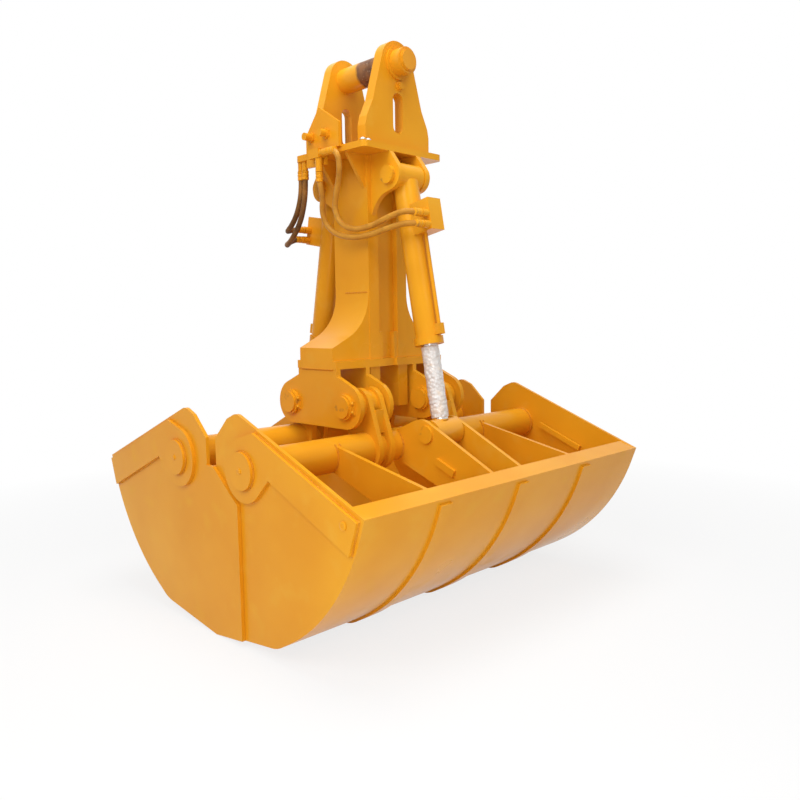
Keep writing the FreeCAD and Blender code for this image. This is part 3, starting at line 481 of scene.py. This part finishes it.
for name, hose in hoses.items():
    curve = bpy.data.curves.new(name + "Line", "CURVE")
    curve.dimensions = "3D"
    curve.resolution_u = 12
    spline = curve.splines.new("NURBS")
    spline.points.add(len(hose["route"]) - 1)
    for point, place in zip(spline.points, hose["route"]):
        point.co = (*place, 1)
    spline.order_u = 3
    spline.use_endpoint_u = True
    line = bpy.data.objects.new(name + "Line", curve)
    scene.collection.objects.link(line)
    bpy.context.view_layer.update()
    plain = bpy.data.meshes.new_from_object(line)
    path = [vertex.co.copy() for vertex in plain.vertices]
    curve.bevel_depth = hoseSize["diameter"] / 2
    curve.bevel_resolution = 6
    curve.use_fill_caps = True
    bpy.context.view_layer.update()
    tube = bpy.data.meshes.new_from_object(line.evaluated_get(bpy.context.evaluated_depsgraph_get()))
    bpy.data.objects.remove(line)
    tube.name = name + "Tube"
    for face in tube.polygons:
        face.use_smooth = True
    piece = newPiece(name + "Tube", tube, hose["finish"])
    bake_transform(piece)
    length = sum((after - before).length for before, after in zip(path, path[1:]))
    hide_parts(name)
    for end, body, at, towards in (("Upper", "head", path[0], path[2]),
                                   ("Lower", "barrel_" + hose["side"], path[-1], path[-3])):
        bm = bmesh.new()
        turned(bm, crimped, at, towards - at, 28)
        newPiece(name + end + "Ferrule", meshFrom(name, bm), "paintedPin", body)
print("hoses made:", len(hoses))

# Packing film wound round each rod, crumpled
film = {"top": 0.6045, "foot": 0.858, "inner": 0.0286, "outer": 0.0312, "crumple": 0.0018,
        "rings": 110, "segments": 64, "lean": math.radians(10.716), "keep": 0.26,
        "eyeY": 0.186, "eyeZ": -0.392}
for side, sign in sides.items():
    up = Vector((0, -sign * math.sin(film["lean"]), math.cos(film["lean"])))
    pivot = Vector((0, sign * film["eyeY"], film["eyeZ"]))
    foot = pivot - up * film["foot"]
    across = Vector((1, 0, 0))
    beside = up.cross(across)
    tall = film["foot"] - film["top"]
    bm = bmesh.new()
    rings = []
    for step in range(film["rings"] + 1):
        share = step / film["rings"]
        ring = []
        for index in range(film["segments"]):
            turn = 2 * math.pi * index / film["segments"]
            way = across * math.cos(turn) + beside * math.sin(turn)
            spot = foot + up * (tall * share) + way * film["outer"]
            wave = noise.noise(spot * 42) + 0.5 * noise.noise(spot * 110)
            radius = max(film["inner"], min(0.0331, film["outer"] + film["crumple"] * wave))
            if step in (0, film["rings"]):
                radius = film["inner"]
            ring.append(bm.verts.new(foot + up * (tall * share) + way * radius))
        rings.append(ring)
    for first, second in zip(rings, rings[1:]):
        for index in range(film["segments"]):
            after = (index + 1) % film["segments"]
            bm.faces.new((first[index], first[after], second[after], second[index]))
    mesh = meshFrom(side + "Film", bm)
    wrap = newPiece(side + "Film", mesh, "packingFilm", "rod_" + side)
    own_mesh(wrap)
    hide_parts(side + "_rod_film")
print("film made")

# Weld beads on the head
welds = {"under": 0.0015, "columnLine": -0.792, "inset": 0.022}
flangeLow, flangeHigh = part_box("foot_flange")
lines = []
for name in ("bracket_left_outer", "bracket_left_inner", "bracket_right_inner",
             "bracket_right_outer"):
    low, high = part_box(name)
    for x in (low.x - welds["under"], high.x + welds["under"]):
        if abs(x) < flangeHigh.x:
            lines.append([(x, flangeLow.y + welds["inset"], high.z - welds["under"]),
                          (x, flangeHigh.y - welds["inset"], high.z - welds["under"])])
platformLow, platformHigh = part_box("head_platform")
for name in ("ear_front", "ear_rear"):
    low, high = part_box(name)
    for y in (low.y - welds["under"], high.y + welds["under"]):
        lines.append([(low.x + 0.01, y, low.z + welds["under"]),
                      (high.x - 0.01, y, low.z + welds["under"])])
columnLow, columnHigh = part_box("column")
lines.append([(-0.0955, -0.082, welds["columnLine"]), (-0.0955, 0.034, welds["columnLine"])])
weldOn("headWelds", lines, "head")

# Weld beads on the shells: round the doublers, the hub discs and where the ribs meet the tube
shell = {"tubeY": 0.186, "tubeZ": -1.337, "tubeRadius": 0.0585, "hubRadius": 0.059,
         "doubler": 0.012, "round": 0.100, "ribX": (0.075, 0.375), "ribHalf": 0.008,
         "corners": ((-0.240, -1.217), (-0.697, -1.404), (-0.664, -1.500), (-0.315, -1.350))}
for side, sign in sides.items():
    low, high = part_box(side + "_doublers")
    lines = []
    for x, inward in ((low.x, 1), (high.x, -1)):
        face = x + inward * 2 * shell["doubler"]
        lines.append([(face - inward * 0.001, -sign * y, z) for y, z in shell["corners"]])
        lines.append(arc(x + inward * shell["doubler"] - inward * 0.001, sign * shell["tubeY"],
                         shell["tubeZ"], shell["hubRadius"] + 0.001, 0, 360, 60))
    for x in shell["ribX"]:
        for way in (-1, 1):
            for part in (-1, 1):
                at = way * x + part * (shell["ribHalf"] + 0.001)
                middle = 180 if sign < 0 else 0
                lines.append(arc(at, sign * shell["tubeY"], shell["tubeZ"],
                                 shell["tubeRadius"] + 0.001, middle - 44, middle + 44, 24))
    for x in (-0.6865, 0.6865):
        lines.append(arc(x, sign * shell["tubeY"], shell["tubeZ"], shell["tubeRadius"] + 0.001,
                         0, 360, 60))
    weldOn(side + "ShellWelds", lines, "shell_" + side)
print("welds made")

# Bolts beside the ears, grease plugs in the hub discs
boltSpots = {"platformBolts": {"radius": 0.0075, "height": 0.010, "turn": (0, 0, 0.3),
                               "spots": [(-0.184, -0.172, -0.2865), (-0.160, -0.172, -0.2865)]}}
for name, bolt in boltSpots.items():
    host = bpy.data.meshes.new(name)
    host.from_pydata(bolt["spots"], [], [])
    grown(name, host, boltTree, {"Radius": bolt["radius"], "Height": bolt["height"],
                                 "Turn": bolt["turn"], "Material": materials["zincBolt"]},
          "zincBolt", "head")

plug = [(0, 0.0095), (0.0022, 0.0095), (0.0032, 0.0080), (0.0032, 0.0040), (0.0022, 0.0036)]
for side, sign in sides.items():
    bm = bmesh.new()
    low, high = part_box(side + "_doublers")
    turned(bm, plug, (low.x + 0.0005, sign * shell["tubeY"], shell["tubeZ"]), (-1, 0, 0), 18)
    turned(bm, plug, (high.x - 0.0005, sign * shell["tubeY"], shell["tubeZ"]), (1, 0, 0), 18)
    near = low.x if sign < 0 else high.x
    turned(bm, [(along, radius * 1.35) for along, radius in plug],
           (near + shell["doubler"] * -sign + 0.0005 * sign, sign * 0.646, -1.420), (sign, 0, 0), 24)
    newPiece(side + "HubPlugs", meshFrom(side + "HubPlugs", bm), "paintedPin", "shell_" + side)

# Keeper plates that lock the hinge pins, each on two bolts
keeper = {"pinY": 0.150, "pinZ": -1.188, "away": 0.046, "half": (0.0065, 0.024), "thick": 0.008,
          "boltRise": 0.015, "boltRadius": 0.0048, "boltHeight": 0.006}
for name, way in (("bracket_left_outer", -1), ("bracket_right_outer", 1)):
    low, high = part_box(name)
    face = low.x if way < 0 else high.x
    bm = bmesh.new()
    spots = []
    for pinY in (-keeper["pinY"], keeper["pinY"]):
        middle = pinY + way * keeper["away"]
        wide, tall = keeper["half"]
        slab(bm, [(face, middle + y * wide, keeper["pinZ"] + z * tall)
                  for y, z in ((-1, -1), (1, -1), (1, 1), (-1, 1))], (way * keeper["thick"], 0, 0))
        spots += [(face + way * (keeper["thick"] + keeper["boltHeight"] / 2 - 0.0005), middle,
                   keeper["pinZ"] + rise) for rise in (-keeper["boltRise"], keeper["boltRise"])]
    side = "Left" if way < 0 else "Right"
    newPiece("pinKeepers" + side, meshFrom("pinKeepers" + side, bm, False), "paintedPin", "head")
    host = bpy.data.meshes.new("keeperBolts" + side)
    host.from_pydata(spots, [], [])
    grown("keeperBolts" + side, host, boltTree,
          {"Radius": keeper["boltRadius"], "Height": keeper["boltHeight"],
           "Turn": (0, math.pi / 2, 0), "Material": materials["paintedPin"]}, "paintedPin", "head")

# Small bars and plates inside the shells, welded to ribs and end plates
stays = {"bar": ((-0.404, -1.370), (-0.484, -1.404), 0.012), "strip": ((-0.290, -1.338), (-0.484, -1.419), 0.010)}
for side, sign in sides.items():
    bm = bmesh.new()
    for x, depth, (first, second, half) in ((-0.083, -0.010, stays["bar"]),
                                            (0.688, -0.010, stays["strip"])):
        start, end = Vector((0, *first)), Vector((0, *second))
        rise = (end - start).normalized().cross(Vector((1, 0, 0))) * half
        outline = [start + rise, end + rise, end - rise, start - rise]
        corners = [(x * -sign, point.y * -sign, point.z) for point in outline]
        slab(bm, corners, (depth * -sign, 0, 0))
    newPiece(side + "Stays", meshFrom(side + "Stays", bm, False), "orangeEnamel", "shell_" + side)
print("small pieces made")

# Floor, world and lamps
floor = {"half": 9.0, "height": -1.9045, "white": 0.8, "show": 0.80, "fade": (2.4, 3.6)}
bm = bmesh.new()
for x, y in ((-1, -1), (1, -1), (1, 1), (-1, 1)):
    bm.verts.new((x * floor["half"], y * floor["half"], floor["height"]))
bm.faces.new(bm.verts)
ground = bpy.data.objects.new("floor", meshFrom("floor", bm, False))
scene.collection.objects.link(ground)
paper, tree = newMaterial("paleFloor")
ray = tree.nodes.new("ShaderNodeLightPath")
seen = Signal(tree, ray.outputs["Is Camera Ray"]) + Signal(tree, ray.outputs["Is Glossy Ray"])
matt = tree.add("ShaderNodeBsdfDiffuse", {}, {"Color": (floor["white"],) * 3 + (1,)})
glow = tree.add("ShaderNodeEmission", {}, {"Color": (1, 1, 1, 1), "Strength": 1.0})
place = tree.add("ShaderNodeTexCoord", output="Object")
far = tree.add("ShaderNodeVectorMath", {"operation": "LENGTH"}, {0: place}, "Value")
fade = tree.between(far, *floor["fade"]) * (1 - floor["show"]) + floor["show"]
mixed = tree.add("ShaderNodeMixShader", {}, {0: seen * fade, 1: matt, 2: glow})
tree.add("ShaderNodeOutputMaterial", {}, {"Surface": mixed})
ground.data.materials.append(paper)

world = bpy.data.worlds.new("studio")
scene.world = world
world.use_nodes = True
world.node_tree.nodes.clear()
tree = Tree(world.node_tree)
ray = tree.nodes.new("ShaderNodeLightPath")
soft = tree.add("ShaderNodeBackground", {}, {"Color": (1, 0.99, 0.97, 1), "Strength": 0.30})
white = tree.add("ShaderNodeBackground", {}, {"Color": (1, 1, 1, 1), "Strength": 1.0})
seen = Signal(tree, ray.outputs["Is Camera Ray"]) + Signal(tree, ray.outputs["Is Glossy Ray"])
sky = tree.add("ShaderNodeMixShader", {}, {0: seen, 1: soft, 2: white})
tree.add("ShaderNodeOutputWorld", {}, {"Surface": sky})

lamps = {"key": {"place": (-3.6, -0.9, 1.6), "size": 2.4, "power": 88},
         "top": {"place": (-0.3, -0.4, 2.6), "size": 2.6, "power": 105},
         "near": {"place": (-1.7, -1.9, -0.9), "size": 0.7, "power": 10},
         "head": {"place": (-0.9, -3.0, 0.9), "size": 1.5, "power": 22}}
for name, lamp in lamps.items():
    light = bpy.data.lights.new(name, "AREA")
    light.size = lamp["size"]
    light.energy = lamp["power"]
    holder = bpy.data.objects.new(name, light)
    scene.collection.objects.link(holder)
    aim = Vector((0, 0, -1.0)) - Vector(lamp["place"])
    holder.matrix_world = (Matrix.Translation(lamp["place"])
                           @ aim.to_track_quat("-Z", "Y").to_matrix().to_4x4())
scene.view_settings.view_transform = "Standard"
print("stage and lamps set")
